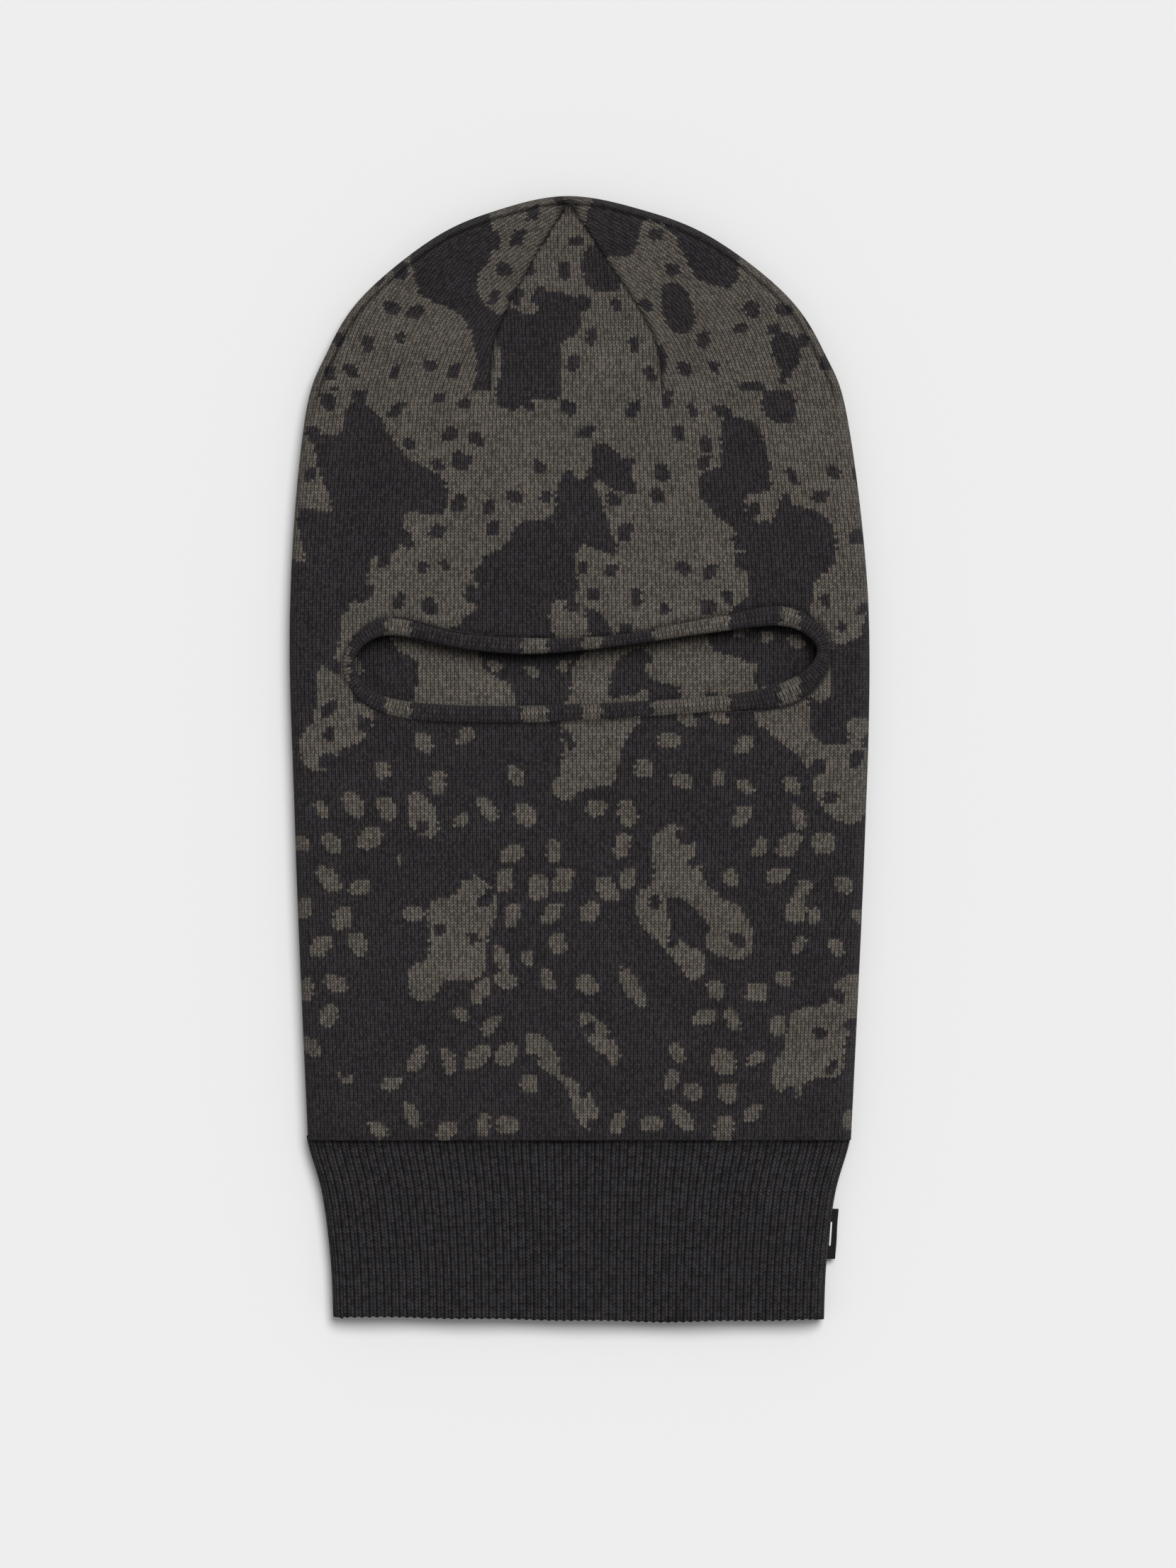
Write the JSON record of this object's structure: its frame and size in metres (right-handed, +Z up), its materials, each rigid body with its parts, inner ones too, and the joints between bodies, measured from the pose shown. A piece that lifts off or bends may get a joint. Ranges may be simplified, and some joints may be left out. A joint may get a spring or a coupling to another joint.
{
  "type": "knitted balaclava",
  "caption": "Knitted balaclava lying flat, with a closed crown shaped by seams, a long bound eye slot across the face and a fold-up ribbed neck with a side tab.",
  "frame": {"origin": "middle of the bounding box, on the surface that the hood lies on", "axes": "+Y along the length towards the crown, +Z up out of the front face, +X across towards the side with the tab"},
  "size_m": [0.2106, 0.41, 0.0132],
  "materials": {
    "patterned_knit": "two-tone grey-brown and charcoal jacquard knit, matt",
    "dark_rib": "charcoal 1x1 rib knit, matt",
    "dark_yarn": "charcoal yarn, matt",
    "woven_label": "black damask-woven ribbon with a plain pale stripe",
    "pale_label": "blank off-white satin ribbon"
  },
  "bodies": {
    "hood": {"hood_front_panel": "patterned_knit", "hood_back_panel": "patterned_knit", "eye_binding": "patterned_knit", "eye_binding_seam": "dark_yarn", "crown_seam_front_left": "dark_yarn", "crown_seam_front_right": "dark_yarn", "crown_seam_back_left": "dark_yarn", "crown_seam_back_right": "dark_yarn", "side_seam_left": "dark_yarn", "side_seam_right": "dark_yarn", "crown_tip_tack": "dark_yarn", "collar_seam": "dark_yarn", "care_label": "pale_label"},
    "neck": {"collar_rib_front": "dark_rib", "collar_rib_back": "dark_rib", "collar_side_seam_left": "dark_yarn", "collar_side_seam_right": "dark_yarn"},
    "tab": {"tab_label": "woven_label"}
  },
  "joints": [
    {"name": "collar_turn_up", "type": "hinge", "parent": "hood", "child": "neck", "pos_m": [0, -0.1387, 0.0125], "axis": [-1, 0, 0], "range_deg": [0, 175]},
    {"name": "tab_flap", "type": "hinge", "parent": "neck", "child": "tab", "pos_m": [0.09265, -0.1733, 0.0051], "axis": [0.1288, -0.9917, 0], "range_deg": [-35, 60]}
  ]
}
